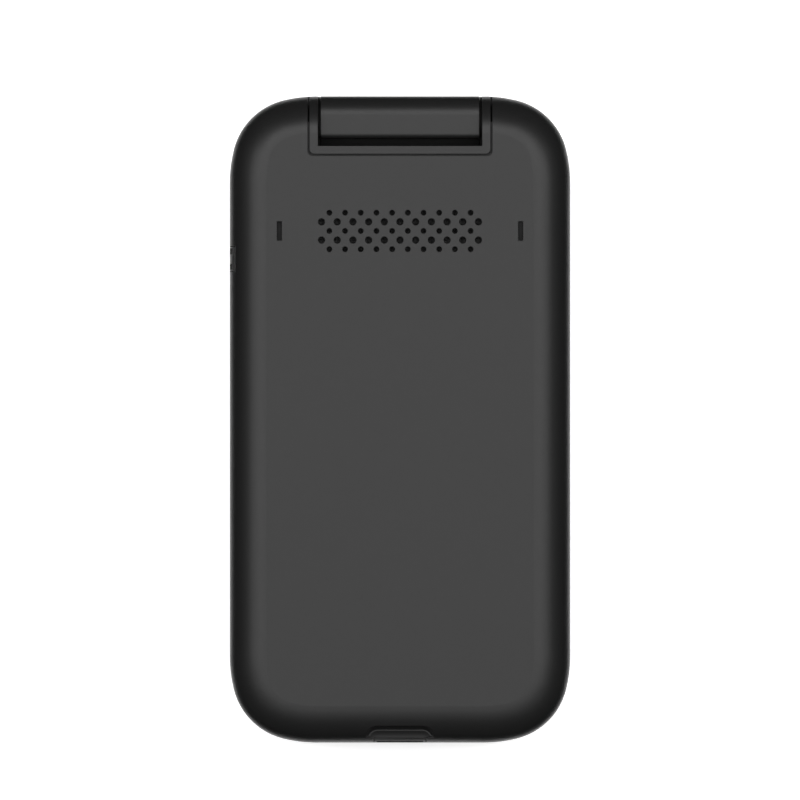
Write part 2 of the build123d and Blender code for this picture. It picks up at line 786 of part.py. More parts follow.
# A printed circuit rolled up in the bush, with a tail that runs down into the lid.
flex_side = hinge_y - flex_radius
with BuildPart() as hinge_flex:
    hinge_rod(flex_radius, (2 * seat_gap - socket_end, flex_x + flex_width / 2 - seat_gap))
    hinge_rod(flex_radius - flex_thickness, (-socket_end, 0), Mode.SUBTRACT)
    block(
        (flex_x - flex_width / 2 + seat_gap, flex_x + flex_width / 2 - seat_gap),
        (flex_side, flex_side + flex_thickness),
        (lid_board_top + seat_gap, hinge_z),
    )
    block(
        (flex_x - flex_width / 2 + seat_gap, flex_x + flex_width / 2 - seat_gap),
        (lid_cavity_end - 3 * wall, flex_side + flex_thickness),
        (lid_board_top + seat_gap, lid_board_top + seat_gap + flex_thickness),
    )
hinge_flex.part.label = "hinge_flex"
export_step(hinge_flex.part, "parts/hinge_flex.step")

# ------------------------------------------------------------------ keypad deck
deck_space = slab(ledge, skin_top, back)
with BuildPart() as deck_hollow:
    add(deck_space)
    block((-width, width), (hinge_y - pocket_radius - wall, length), (0, back), Mode.SUBTRACT)

rocker_z = base_parting - rocker_height - shell_gap
rocker_face = width / 2 - rocker_sunk
rocker_back = width / 2 - wall
with BuildPart() as keypad_deck:
    add(base_body.part)
    split(bisect_by=Plane.XY.offset(base_parting), keep=Keep.BOTTOM)
    add(deck_hollow.part, mode=Mode.SUBTRACT)
    panel((0, field_y), (field_width, field_length), field_round, (base_bottom, field_floor), Mode.SUBTRACT)
    with BuildSketch(Plane.XY.offset(field_floor)):
        for key_name, *_ in keys:
            key_plan(key_name, key_gap)
        with Locations((0, nav_y)):
            Circle(nav_radius + key_gap)
    extrude(amount=skin, mode=Mode.SUBTRACT)
    peg(base_screws_at, boss_radius, (field_floor, base_parting))
    peg(base_screws_at, screw_radius + seat_gap, (skin_top, base_parting), Mode.SUBTRACT)
    peg([(microphone_x, ledge + wall - end_y)], microphone_hole, (0, skin_top), Mode.SUBTRACT)
    hinge_sockets()
    block(
        (rocker_back - wall, width),
        (rocker_y - rocker_length / 2 - key_gap, rocker_y + rocker_length / 2 + key_gap),
        (rocker_z - key_gap, base_parting),
        Mode.SUBTRACT,
    )
    block(
        (rocker_back - 2 * wall, rocker_back),
        (rocker_y - rocker_length / 2 - wall, rocker_y + rocker_length / 2 + wall),
        (skin_top, base_parting),
        Mode.SUBTRACT,
    )
keypad_deck.part.label = "keypad_deck"
export_step(keypad_deck.part, "parts/keypad_deck.step")

# ------------------------------------------------------------------ keys
for key_name, key_x, key_y, key_width, key_height in keys:
    with BuildPart() as key:
        with BuildSketch(Plane.XY.offset(key_top)):
            key_plan(key_name)
        extrude(amount=flange_z - key_top)
        chamfer(low_rim(key), key_chamfer)
        block(
            (key_x - key_width / 2 - flange, key_x + key_width / 2 + flange),
            (key_y - key_height / 2 - flange, key_y + key_height / 2 + flange),
            (flange_z, flange_z + flange_thickness),
        )
    key.part.label = key_name
    export_step(key.part, "parts/" + key_name + ".step")

with BuildPart() as nav_ring:
    disc([(0, nav_y)], nav_radius, (key_top, flange_z + nav_drop))
    disc([(0, nav_y)], nav_radius + flange, (flange_z + nav_drop, ring_back))
    disc([(0, nav_y)], nav_bore, (key_top, ring_back), Mode.SUBTRACT)
    chamfer(low_rim(nav_ring), key_chamfer)
nav_ring.part.label = "nav_ring"
export_step(nav_ring.part, "parts/nav_ring.step")

with BuildPart() as nav_select:
    disc([(0, nav_y)], select_radius, (key_top + key_proud, select_rim_z))
    chamfer(low_rim(nav_select), key_chamfer)
    disc(
        [(0, nav_y)],
        select_radius + select_rim,
        (select_rim_z, select_rim_z + select_rim_thickness),
    )
nav_select.part.label = "nav_select"
export_step(nav_select.part, "parts/nav_select.step")

# ------------------------------------------------------------------ boards under the keys
nav_domes = [(0, nav_y + side * (nav_radius - dome_radius)) for side in (-1, 1)]
with BuildPart() as dome_sheet:
    panel((0, field_y), (field_width - wall, field_length), field_round, (sheet_z, board_z))
    with BuildSketch(Plane.XY.offset(sheet_z)):
        with Locations(*[(x, y) for _, x, y, _, _ in keys], *nav_domes):
            RegularPolygon(dome_radius, peg_sides)
    extrude(amount=-dome_height, taper=45)
    peg(base_screws_at, boss_radius + seat_gap, (dome_z, board_z), Mode.SUBTRACT)
dome_sheet.part.label = "dome_sheet"
export_step(dome_sheet.part, "parts/dome_sheet.step")

board_plan = slab(ledge + key_gap, board_z, board_top)
with BuildPart() as main_board:
    add(board_plan)
    block(
        (-width, width),
        (hinge_y - pocket_radius - wall - key_gap, length),
        (0, back),
        Mode.SUBTRACT,
    )
    peg(base_screws_at, boss_radius + seat_gap, (board_z, board_top), Mode.SUBTRACT)
main_board.part.label = "main_board"
export_step(main_board.part, "parts/main_board.step")

with BuildPart() as board_shield:
    panel((0, grille_y), (shield_width, shield_length), 1, (board_top, board_top + shield_height))
    panel(
        (0, grille_y),
        (shield_width - 2 * mesh_thickness, shield_length - 2 * mesh_thickness),
        1 - mesh_thickness,
        (board_top, board_top + shield_height - mesh_thickness),
        Mode.SUBTRACT,
    )
board_shield.part.label = "board_shield"
export_step(board_shield.part, "parts/board_shield.step")

with BuildPart() as volume_switch:
    block(
        (rocker_back - 2 * wall, rocker_back - 1.5 * wall),
        (rocker_y - rocker_length / 2 + wall, rocker_y + rocker_length / 2 - wall),
        (flange_z, board_z),
    )
volume_switch.part.label = "volume_switch"
export_step(volume_switch.part, "parts/volume_switch.step")

rim_face = rocker_back - rocker_slack
with BuildPart() as volume_rocker:
    with BuildSketch(Plane.YZ.offset(rim_face - rocker_rim)):
        with Locations((rocker_y, rocker_z + rocker_height / 2)):
            RectangleRounded(rocker_length, rocker_height, rocker_height / 3)
    extrude(amount=rocker_face - rim_face + rocker_rim)
    chamfer(volume_rocker.faces().sort_by(Axis.X)[-1].edges(), key_gap)
    rocker_half = rocker_length / 2 + key_gap + flange
    block(
        (rim_face - rocker_rim, rim_face),
        (rocker_y - rocker_half, rocker_y + rocker_half),
        (rocker_z, rocker_z + rocker_height),
    )
volume_rocker.part.label = "volume_rocker"
export_step(volume_rocker.part, "parts/volume_rocker.step")

with BuildPart() as microphone:
    block(
        (microphone_x - microphone_width / 2, microphone_x + microphone_width / 2),
        (-end_y + ledge + key_gap, -end_y + ledge + 2 * wall),
        (skin_top + seat_gap, board_z),
    )
microphone.part.label = "microphone"
export_step(microphone.part, "parts/microphone.step")

# ------------------------------------------------------------------ rear housing
with BuildPart() as housing_plate:
    add(slab(wall + shell_gap, base_parting, housing_top))
    chamfer(high_rim(housing_plate), inner_bevel * (back_round - wall - shell_gap))

frame_half = pocket_half + frame_margin - seam_gap / 2
frame_floor = hinge_y - lip_reach - frame_lip + seam_gap / 2
with BuildPart() as flush_pieces:
    # Parts of the housing that reach through the back cover, flush with its outside.
    panel(
        (0, frame_floor + length / 2),
        (2 * frame_half, length),
        seam_round,
        (base_parting, back),
    )
    port_boss(0)
    block(
        (-width / 2, ledge - width / 2),
        (eyelet_y - eyelet_width / 2, eyelet_y + eyelet_width / 2),
        (base_parting, base_parting + eyelet_height),
    )
    add(base_body.part, mode=Mode.INTERSECT)
    nail_scoop()

screw_seat = base_parting + 1.5 * wall
shield_z = base_parting + shield_height + board_air
side_pocket_x = (bay_width / 2 + wall, width / 2 - 3 * wall)
side_pockets = int((bay[1] - bay[0]) / side_pocket_pitch)
contact_half = contact_pitch + contact_width / 2
eyelet_z = (base_parting + wall / 2, base_parting + eyelet_height - wall / 2)
eyelet_half = eyelet_width / 2 - eyelet_edge
with BuildPart() as rear_housing:
    add(housing_plate.part)
    add(flush_pieces.part)
    hinge_pocket()
    hinge_sockets()
    for z_range in ((base_parting, base_parting + board_air), (bay_z, back)):
        block((-bay_width / 2, bay_width / 2), bay, z_range, Mode.SUBTRACT)
    block(
        (-shield_width / 2 - key_gap, shield_width / 2 + key_gap),
        (grille_y - shield_length / 2 - key_gap, grille_y + shield_length / 2 + key_gap),
        (base_parting, shield_z),
        Mode.SUBTRACT,
    )
    panel(
        (0, grille_y),
        (speaker_width + 2 * key_gap, speaker_length + 2 * key_gap),
        speaker_round,
        (housing_top - speaker_depth - mesh_thickness - shell_gap, back),
        Mode.SUBTRACT,
    )
    block(
        (-memory_width - card_pocket_side, memory_width + card_pocket_side),
        card_pocket,
        (base_parting, back),
        Mode.SUBTRACT,
    )
    for side in (-1, 1):
        for step in range(side_pockets):
            pocket_middle = sum(bay) / 2 + (step - (side_pockets - 1) / 2) * side_pocket_pitch
            block(
                tuple(sorted((side * side_pocket_x[0], side * side_pocket_x[1]))),
                (pocket_middle - side_pocket_length / 2, pocket_middle + side_pocket_length / 2),
                (base_parting + wall, back),
                Mode.SUBTRACT,
            )
    block(
        (-motor_length - 2 * ledge, -ledge - key_gap),
        (pocket_y - motor_radius - key_gap, pocket_y + motor_radius + key_gap),
        (base_parting, back),
        Mode.SUBTRACT,
    )
    block(
        (ledge + key_gap, ledge + antenna_width + 3 * key_gap),
        (pocket_y - antenna_length / 2 - key_gap, pocket_y + antenna_length / 2 + key_gap),
        (base_parting + wall, back),
        Mode.SUBTRACT,
    )
    peg(base_screws_at, screw_radius + seat_gap, (base_parting, back), Mode.SUBTRACT)
    peg(base_screws_at, screw_head + key_gap, (screw_seat, back), Mode.SUBTRACT)
    block(
        (-port_width / 2 - seat_gap, port_width / 2 + seat_gap),
        (-length, port_depth + 2 * seat_gap - end_y),
        (base_parting, base_parting + port_height + seat_gap),
        Mode.SUBTRACT,
    )
    for side in (-1, 1):
        block(
            (-width / 2, eyelet_depth - width / 2),
            tuple(sorted((eyelet_y + side * eyelet_bar / 2, eyelet_y + side * eyelet_half))),
            eyelet_z,
            Mode.SUBTRACT,
        )
    block(
        (eyelet_depth - wall - width / 2, eyelet_depth - width / 2),
        (eyelet_y - eyelet_half, eyelet_y + eyelet_half),
        eyelet_z,
        Mode.SUBTRACT,
    )
    block(
        (-contact_half - wall, contact_half + wall),
        (bay[1], card_pocket[0]),
        (bay_z, bay_z + 2 * wall),
        Mode.SUBTRACT,
    )
rear_housing.part.label = "rear_housing"
export_step(rear_housing.part, "parts/rear_housing.step")

# ------------------------------------------------------------------ pieces in the housing
with BuildPart() as battery:
    block(
        (battery_gap - bay_width / 2, bay_width / 2 - battery_gap),
        (bay[0] + battery_gap, bay[1] - battery_gap),
        (battery_z, battery_top),
    )
    fillet(battery.edges().filter_by(Axis.Z), wall)
battery.part.label = "battery"
export_step(battery.part, "parts/battery.step")

with BuildPart() as battery_contacts:
    for step in (-1, 0, 1):
        block(
            (step * contact_pitch - contact_width / 2, step * contact_pitch + contact_width / 2),
            (bay[1] - battery_gap + seat_gap, card_pocket[0]),
            (bay_z + seat_gap, bay_z + wall),
        )
battery_contacts.part.label = "battery_contacts"
export_step(battery_contacts.part, "parts/battery_contacts.step")

speaker_z = housing_top - speaker_depth - mesh_thickness - seat_gap
with BuildPart() as speaker:
    panel(
        (0, grille_y),
        (speaker_width, speaker_length),
        speaker_round,
        (speaker_z, speaker_z + speaker_depth),
    )
speaker.part.label = "speaker"
export_step(speaker.part, "parts/speaker.step")

with BuildPart() as speaker_mesh:
    panel(
        (0, grille_y),
        (speaker_width, speaker_length - wall),
        speaker_round,
        (speaker_z + speaker_depth, speaker_z + speaker_depth + mesh_thickness),
    )
speaker_mesh.part.label = "speaker_mesh"
export_step(speaker_mesh.part, "parts/speaker_mesh.step")

with BuildPart() as vibration_motor:
    with BuildSketch(Plane.YZ.offset(-motor_length - 1.5 * ledge)):
        with Locations((pocket_y, board_top + motor_radius + seat_gap)):
            Circle(motor_radius)
    extrude(amount=motor_length)
vibration_motor.part.label = "vibration_motor"
export_step(vibration_motor.part, "parts/vibration_motor.step")

with BuildPart() as antenna:
    block(
        (ledge + 2 * key_gap, ledge + 2 * key_gap + antenna_width),
        (pocket_y - antenna_length / 2, pocket_y + antenna_length / 2),
        (base_parting + wall + seat_gap, housing_top - wall),
    )
antenna.part.label = "antenna"
export_step(antenna.part, "parts/antenna.step")

with BuildPart() as usb_port:
    port_front = port_recess - end_y
    block(
        (-port_width / 2, port_width / 2),
        (port_front, port_depth - end_y),
        (board_top, board_top + port_height),
    )
    chamfer(usb_port.edges().filter_by(Axis.Y).group_by(Axis.Z)[0], 3 * port_wall)
    block(
        (-port_width / 2 + 3 * port_wall, port_width / 2 - 3 * port_wall),
        (port_front, port_depth - port_wall - end_y),
        (board_top + port_wall, board_top + port_height - port_wall),
        Mode.SUBTRACT,
    )
    block(
        (-port_width / 2 + 6 * port_wall, port_width / 2 - 6 * port_wall),
        (port_front + 2 * port_wall, port_depth - end_y),
        (board_top + 4 * port_wall, board_top + 6 * port_wall),
    )
usb_port.part.label = "usb_port"
export_step(usb_port.part, "parts/usb_port.step")

card_z = board_top + seat_gap
with BuildPart() as sim_holder:
    block(
        (-wall - sim_width, -wall),
        (card_y - sim_length / 2, card_y + sim_length / 2),
        (card_z, card_z + card_height),
    )
    block(
        (-wall - sim_width, -wall - card_wall),
        (card_y - sim_length / 2 + card_wall, card_y + sim_length / 2 - card_wall),
        (card_z + card_wall, card_z + card_height - card_wall),
        Mode.SUBTRACT,
    )
sim_holder.part.label = "sim_holder"
export_step(sim_holder.part, "parts/sim_holder.step")

with BuildPart() as memory_card_holder:
    block(
        (wall / 2, wall / 2 + memory_width),
        (card_y - memory_length / 2, card_y + memory_length / 2),
        (card_z, card_z + card_height),
    )
    block(
        (wall / 2 + card_wall, wall / 2 + memory_width),
        (card_y - memory_length / 2 + card_wall, card_y + memory_length / 2 - card_wall),
        (card_z + card_wall, card_z + card_height - card_wall),
        Mode.SUBTRACT,
    )
memory_card_holder.part.label = "memory_card_holder"
export_step(memory_card_holder.part, "parts/memory_card_holder.step")

with BuildPart() as base_screws:
    peg(base_screws_at, screw_radius, (skin_top + 2 * seat_gap, screw_seat))
    peg(base_screws_at, screw_head, (screw_seat, screw_seat + screw_head_height))
base_screws.part.label = "base_screws"
export_step(base_screws.part, "parts/base_screws.step")

# ------------------------------------------------------------------ back cover
with BuildPart() as cover_space:
    add(slab(wall, base_bottom, back - wall))
    chamfer(high_rim(cover_space), inner_bevel * (back_round - wall))

with BuildPart() as rear_cover:
    add(base_body.part)
    split(bisect_by=Plane.XY.offset(base_parting), keep=Keep.TOP)
    add(cover_space.part, mode=Mode.SUBTRACT)
    panel(
        (0, frame_floor - seam_gap + length / 2),
        (2 * (frame_half + seam_gap), length),
        seam_round,
        (base_bottom, back),
        Mode.SUBTRACT,
    )
    for row in range(-2, 3):
        holes = grille_short_row + row % 2
        hole = grille_long_hole if row % 2 else grille_short_hole
        with BuildSketch(Plane.XY.offset(back)):
            with Locations((0, grille_y + row * grille_row_pitch)):
                with GridLocations(grille_pitch, grille_row_pitch, holes, 1):
                    RegularPolygon(hole / 2, peg_sides)
        extrude(amount=-2 * wall, mode=Mode.SUBTRACT)
    for side in (-1, 1):
        block(
            (side * slot_x - slot_width / 2, side * slot_x + slot_width / 2),
            (grille_y - slot_length / 2, grille_y + slot_length / 2),
            (back - slot_depth, back),
            Mode.SUBTRACT,
        )
    port_boss(shell_gap, Mode.SUBTRACT)
    block(
        (-width, ledge - width / 2),
        (eyelet_y - eyelet_width / 2 - shell_gap, eyelet_y + eyelet_width / 2 + shell_gap),
        (base_parting, base_parting + eyelet_height + shell_gap),
        Mode.SUBTRACT,
    )
    nail_scoop()
rear_cover.part.label = "rear_cover"
export_step(rear_cover.part, "parts/rear_cover.step")
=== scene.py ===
"""Finish, legends, camera and studio of a closed folding phone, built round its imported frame."""

import json
import math

import bpy
from mathutils import Matrix, Vector


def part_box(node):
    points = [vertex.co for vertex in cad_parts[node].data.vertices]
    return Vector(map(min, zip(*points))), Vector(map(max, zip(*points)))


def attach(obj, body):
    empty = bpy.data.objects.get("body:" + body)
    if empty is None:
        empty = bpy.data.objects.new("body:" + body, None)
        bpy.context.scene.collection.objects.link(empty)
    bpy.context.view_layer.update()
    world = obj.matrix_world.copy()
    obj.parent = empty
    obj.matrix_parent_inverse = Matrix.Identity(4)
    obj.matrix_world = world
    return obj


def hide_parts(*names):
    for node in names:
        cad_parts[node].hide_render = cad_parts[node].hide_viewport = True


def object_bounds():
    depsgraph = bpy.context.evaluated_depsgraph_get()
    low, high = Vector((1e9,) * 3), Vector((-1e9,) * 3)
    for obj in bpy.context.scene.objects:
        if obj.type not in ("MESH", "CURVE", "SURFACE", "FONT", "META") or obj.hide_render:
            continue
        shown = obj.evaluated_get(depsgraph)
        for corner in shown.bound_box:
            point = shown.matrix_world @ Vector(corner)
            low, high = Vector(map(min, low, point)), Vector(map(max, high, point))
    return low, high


MM = 0.001
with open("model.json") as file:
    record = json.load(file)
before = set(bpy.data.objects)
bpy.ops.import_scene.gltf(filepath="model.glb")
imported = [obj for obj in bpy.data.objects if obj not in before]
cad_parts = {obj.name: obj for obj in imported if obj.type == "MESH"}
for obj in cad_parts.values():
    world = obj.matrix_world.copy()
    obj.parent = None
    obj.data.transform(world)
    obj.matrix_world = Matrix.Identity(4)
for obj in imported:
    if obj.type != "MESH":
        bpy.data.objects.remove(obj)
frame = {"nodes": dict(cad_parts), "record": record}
nodes = frame["nodes"]
cad_low, cad_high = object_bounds()


def add_object(name, data):
    """A new object in the scene."""
    thing = bpy.data.objects.new(name, data)
    bpy.context.scene.collection.objects.link(thing)
    return thing


# ---------------------------------------------------------------- camera, from the photograph
PHOTO_SIZE = 800                        # pixels
PHOTO_WIDTH_PX = 340.4                  # the phone in the photograph
PHOTO_CENTRE_Y_PX = 419.5
WIDEST_Z = 12.6 * MM                    # level of the outline that is seen from above
LENS = 800.0                            # millimetres, for a view that is nearly parallel
SENSOR = 36.0
CLIP_START = 0.01


def make_camera():
    """A long lens that looks straight down on the back cover, with the hinge end up."""
    span = PHOTO_SIZE * (cad_high.x - cad_low.x) / PHOTO_WIDTH_PX
    data = bpy.data.cameras.new("camera")
    data.lens = LENS
    data.sensor_width = SENSOR
    data.clip_start = CLIP_START
    camera = add_object("camera", data)
    below = (PHOTO_CENTRE_Y_PX - PHOTO_SIZE / 2) / PHOTO_SIZE * span
    centre = (cad_low + cad_high) / 2
    camera.location = (centre.x, centre.y + below, WIDEST_Z + span * LENS / SENSOR)
    bpy.context.scene.camera = camera


# ---------------------------------------------------------------- shader pieces
EDGE_SAMPLES = 6
WAVE_RATE = 20                          # a wave texture turns so many radians in a unit
MIX_COLOURS = (6, 7)                    # sockets of a Mix node, when it mixes colours
MIX_RESULT = 2


def principled(name, colour, roughness, **values):
    """A new Principled material. Returns it with its node tree and shader."""
    material = bpy.data.materials.new(name)
    material.use_nodes = True
    tree = material.node_tree
    shader = tree.nodes["Principled BSDF"]
    shader.inputs["Base Color"].default_value = (*colour, 1)
    shader.inputs["Roughness"].default_value = roughness
    for socket, value in values.items():
        shader.inputs[socket.replace("_", " ")].default_value = value
    return material, tree, shader


def calculate(tree, operation, first, second=None):
    """A Math node. An input is a number or another node's output."""
    node = tree.nodes.new("ShaderNodeMath")
    node.operation = operation
    for socket, value in zip(node.inputs, (first, second)):
        if isinstance(value, (int, float)):
            socket.default_value = value
        elif value is not None:
            tree.links.new(value, socket)
    return node.outputs[0]


def mix_shaders(tree, factor, first, second):
    """The first shader where the factor is 0, and the second where it is 1."""
    mix = tree.nodes.new("ShaderNodeMixShader")
    for socket, value in zip(mix.inputs, (factor, first, second)):
        tree.links.new(value, socket)
    return mix.outputs["Shader"]


def place(tree, stretch=(1, 1, 1)):
    """The part's own coordinates in metres, stretched along each axis."""
    here = tree.nodes.new("ShaderNodeTexCoord")
    mapping = tree.nodes.new("ShaderNodeMapping")
    mapping.inputs["Scale"].default_value = stretch
    tree.links.new(here.outputs["Object"], mapping.inputs["Vector"])
    return mapping.outputs["Vector"]


def place_axes(tree):
    """The part's own X, Y and Z, each by itself."""
    axes = tree.nodes.new("ShaderNodeSeparateXYZ")
    tree.links.new(place(tree), axes.inputs[0])
    return axes.outputs


def noise(tree, scale, detail=2.0, stretch=(1, 1, 1)):
    """A noise texture; scale is in lumps per metre."""
    texture = tree.nodes.new("ShaderNodeTexNoise")
    texture.inputs["Scale"].default_value = scale
    texture.inputs["Detail"].default_value = detail
    tree.links.new(place(tree, stretch), texture.inputs["Vector"])
    return texture.outputs["Fac"]


def waves(tree, pitch, axis="X"):
    """Waves that follow each other along one axis, a pitch apart."""
    texture = tree.nodes.new("ShaderNodeTexWave")
    texture.bands_direction = axis
    texture.inputs["Scale"].default_value = math.tau / WAVE_RATE / pitch
    tree.links.new(place(tree), texture.inputs["Vector"])
    return texture.outputs["Fac"]


def spread(tree, factor, low, high, start=0.3, end=0.7):
    """Maps a value from between start and end, where a noise mostly lies, to low and high."""
    node = tree.nodes.new("ShaderNodeMapRange")
    for socket, value in zip(node.inputs[1:5], (start, end, low, high)):
        socket.default_value = value
    tree.links.new(factor, node.inputs["Value"])
    return node.outputs["Result"]


def add_bump(tree, shader, height, depth, edge=0.0):
    """Gives the shader a fine relief of that depth, and sharp edges a small round, in metres."""
    bump = tree.nodes.new("ShaderNodeBump")
    bump.inputs["Distance"].default_value = depth
    tree.links.new(height, bump.inputs["Height"])
    if edge:
        soft = tree.nodes.new("ShaderNodeBevel")
        soft.samples = EDGE_SAMPLES
        soft.inputs["Radius"].default_value = edge
        tree.links.new(soft.outputs["Normal"], bump.inputs["Normal"])
    tree.links.new(bump.outputs["Normal"], shader.inputs["Normal"])


def add_colours(tree, shader, factor, low, high):
    """Lets the base colour change between two."""
    mix = tree.nodes.new("ShaderNodeMix")
    mix.data_type = "RGBA"
    for socket, colour in zip(MIX_COLOURS, (low, high)):
        mix.inputs[socket].default_value = (*colour, 1)
    tree.links.new(factor, mix.inputs[0])
    tree.links.new(mix.outputs[MIX_RESULT], shader.inputs["Base Color"])


def add_sheen(tree, shader, factor, low, high):
    """Lets the roughness change between two values."""
    tree.links.new(spread(tree, factor, low, high), shader.inputs["Roughness"])


def shades(colour, change):
    """A colour a little darker, and a little lighter."""
    return [c * (1 - change) for c in colour], [c * (1 + change) for c in colour]


# ---------------------------------------------------------------- finishes
EDGE_ROUND = 0.15 * MM                  # how round a sharp edge looks
MOULD_DETAIL = 3.0
MOULD_CHANGE = 0.05                     # share by which the shade changes
MOULD_SHEEN = (0.95, 1.05)              # roughness, as shares of its mean
METAL_LINES = 9000                      # drawn lines per metre
METAL_DETAIL = 2.0
METAL_DEPTH = 0.002 * MM
METAL_CHANGE = 0.08
METAL_SHEEN = (0.8, 1.2)
ALONG_X = (0.04, 1, 1)                  # draws a noise out into lines along X
TRACK_LENGTH = 3.1 * MM                 # of a circuit board
TRACK_PITCH = 0.9 * MM
TRACK_GAP = 0.12 * MM
TRACK_HIGH = 0.03 * MM
PAD_LUMPS = 900                         # per metre
PAD_EDGE = (0.5, 0.52)                  # a noise above this is a pad
BOARD_LUMPS = 1500
FILM_LUMPS = 3000
FILM_DEPTH = 0.01 * MM
COATED_SHEEN = (0.25, 0.4)              # roughness of a board or a film
GLASS_ROUGHNESS = 0.05
GLASS_SHEEN = (0.8, 1.6)                # smears, as shares of it
GLASS_LUMPS = 120
GLASS_DETAIL = 4.0
GLASS_BORDER = (0.002, 0.002, 0.002)
VIEW_CORNER = 0.6 * MM
VIEW_EDGE = 0.05 * MM                   # half the width of the soft edge of a screen's window
DARK = (0.001, 0.001, 0.001)


def moulded(name, colour, roughness, grain, depth, edge=EDGE_ROUND, **values):
    """Moulded plastic or rubber: a spark-eroded grain, with small changes of shade and sheen."""
    material, tree, shader = principled(name, colour, roughness, **values)
    add_bump(tree, shader, noise(tree, grain, MOULD_DETAIL), depth, edge)
    add_colours(tree, shader, noise(tree, grain / 3), *shades(colour, MOULD_CHANGE))
    add_sheen(tree, shader, noise(tree, grain / 4), *[roughness * s for s in MOULD_SHEEN])
    return material


def drawn_metal(name, colour, roughness):
    """Rolled or drawn metal, with fine lines along X and cloudy changes of sheen."""
    material, tree, shader = principled(name, colour, roughness, Metallic=1.0)
    lines = noise(tree, METAL_LINES, METAL_DETAIL, ALONG_X)
    streaks = noise(tree, METAL_LINES / 2, METAL_DETAIL, ALONG_X)
    clouds = noise(tree, METAL_LINES / 20)
    add_bump(tree, shader, lines, METAL_DEPTH, EDGE_ROUND)
    add_colours(tree, shader, streaks, *shades(colour, METAL_CHANGE))
    add_sheen(tree, shader, clouds, *[roughness * s for s in METAL_SHEEN])
    return material


def woven(name, colour, pitch):
    """A fine woven screen: crossing wires, with painted shade, near black, in the holes between
    them.
    """
    material, tree, shader = principled(name, colour, 0.5, Metallic=0.5)
    wires = calculate(tree, "MAXIMUM", waves(tree, pitch, "X"), waves(tree, pitch, "Y"))
    add_bump(tree, shader, wires, pitch / 3)
    # the holes between the wires are painted near black: painted shade of the space behind the
    # screen
    add_colours(tree, shader, spread(tree, wires, 0, 1), DARK, colour)
    return material


def circuit(name, mask, trace):
    """A solder mask over copper tracks and a scatter of pads."""
    material, tree, shader = principled(name, mask, 0.3)
    tracks = tree.nodes.new("ShaderNodeTexBrick")
    tracks.inputs["Scale"].default_value = 1.0
    tracks.inputs["Brick Width"].default_value = TRACK_LENGTH
    tracks.inputs["Row Height"].default_value = TRACK_PITCH
    tracks.inputs["Mortar Size"].default_value = TRACK_GAP
    tree.links.new(place(tree), tracks.inputs["Vector"])
    pads = spread(tree, noise(tree, PAD_LUMPS), 0, 1, *PAD_EDGE)
    lines = calculate(tree, "MULTIPLY", tracks.outputs["Fac"], pads)
    add_colours(tree, shader, lines, mask, trace)
    add_bump(tree, shader, lines, TRACK_HIGH, EDGE_ROUND)
    add_sheen(tree, shader, noise(tree, BOARD_LUMPS), *COATED_SHEEN)
    return material


def film(name, base, copper, pitch):
    """A flexible circuit: copper lines along Y under an amber film."""
    material, tree, shader = principled(name, base, 0.3)
    lines = waves(tree, pitch)
    add_colours(tree, shader, spread(tree, lines, 0, 1), base, copper)
    add_bump(tree, shader, lines, FILM_DEPTH)
    add_sheen(tree, shader, noise(tree, FILM_LUMPS), *COATED_SHEEN)
    return material


def frame_distance(tree, middle, half, corner):
    """Distance outside a rounded rectangle, in the part's own coordinates, negative inside."""
    axes = place_axes(tree)
    beyond = []
    for k in range(2):
        off = calculate(tree, "ABSOLUTE", calculate(tree, "SUBTRACT", axes[k], middle[k]))
        beyond.append(calculate(tree, "SUBTRACT", off, half[k] - corner))
    squares = [
        calculate(tree, "POWER", calculate(tree, "MAXIMUM", b, 0.0), 2.0) for b in beyond
    ]
    round_part = calculate(tree, "SQRT", calculate(tree, "ADD", *squares))
    inside = calculate(tree, "MINIMUM", calculate(tree, "MAXIMUM", *beyond), 0.0)
    return calculate(tree, "SUBTRACT", calculate(tree, "ADD", round_part, inside), corner)


def glass_panel(name, node, margins, view):
    """Polished glass over a black border, with a window of the sleeping screen behind it.

    margins are the border's widths at the sides, at the low Y end and at the high Y end."""
    material, tree, shader = principled(name, GLASS_BORDER, GLASS_ROUGHNESS)
    low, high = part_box(node)
    side, below, above = margins
    middle = ((low.x + high.x) / 2, (low.y + below + high.y - above) / 2)
    half = ((high.x - low.x) / 2 - side, (high.y - above - low.y - below) / 2)
    out = frame_distance(tree, middle, half, VIEW_CORNER)
    window = spread(tree, out, 1, 0, -VIEW_EDGE, VIEW_EDGE)
    add_colours(tree, shader, window, GLASS_BORDER, view)
    smears = noise(tree, GLASS_LUMPS, GLASS_DETAIL)
    add_sheen(tree, shader, smears, *[GLASS_ROUGHNESS * s for s in GLASS_SHEEN])
    return material


def ringed(name, node, rings, ridge=0.0, **values):
    """A round window seen as rings of colour. rings is (share of the radius, colour), outwards."""
    material, tree, shader = principled(name, rings[0][1], GLASS_ROUGHNESS, **values)
    low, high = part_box(node)
    middle, radius = (low + high) / 2, (high.x - low.x) / 2
    out = frame_distance(tree, middle, (radius, radius), radius)
    share = calculate(tree, "ADD", calculate(tree, "DIVIDE", out, radius), 1.0)
    ramp = tree.nodes.new("ShaderNodeValToRGB")
    ramp.color_ramp.interpolation = "EASE"
    while len(ramp.color_ramp.elements) < len(rings):
        ramp.color_ramp.elements.new(1.0)
    for element, (at, colour) in zip(ramp.color_ramp.elements, rings):
        element.position = at
        element.color = (*colour, 1)
    tree.links.new(share, ramp.inputs["Fac"])
    tree.links.new(ramp.outputs["Color"], shader.inputs["Base Color"])
    if ridge:
        steps = calculate(tree, "FRACT", calculate(tree, "DIVIDE", out, ridge))
        add_bump(tree, shader, steps, ridge / 4)
    return material


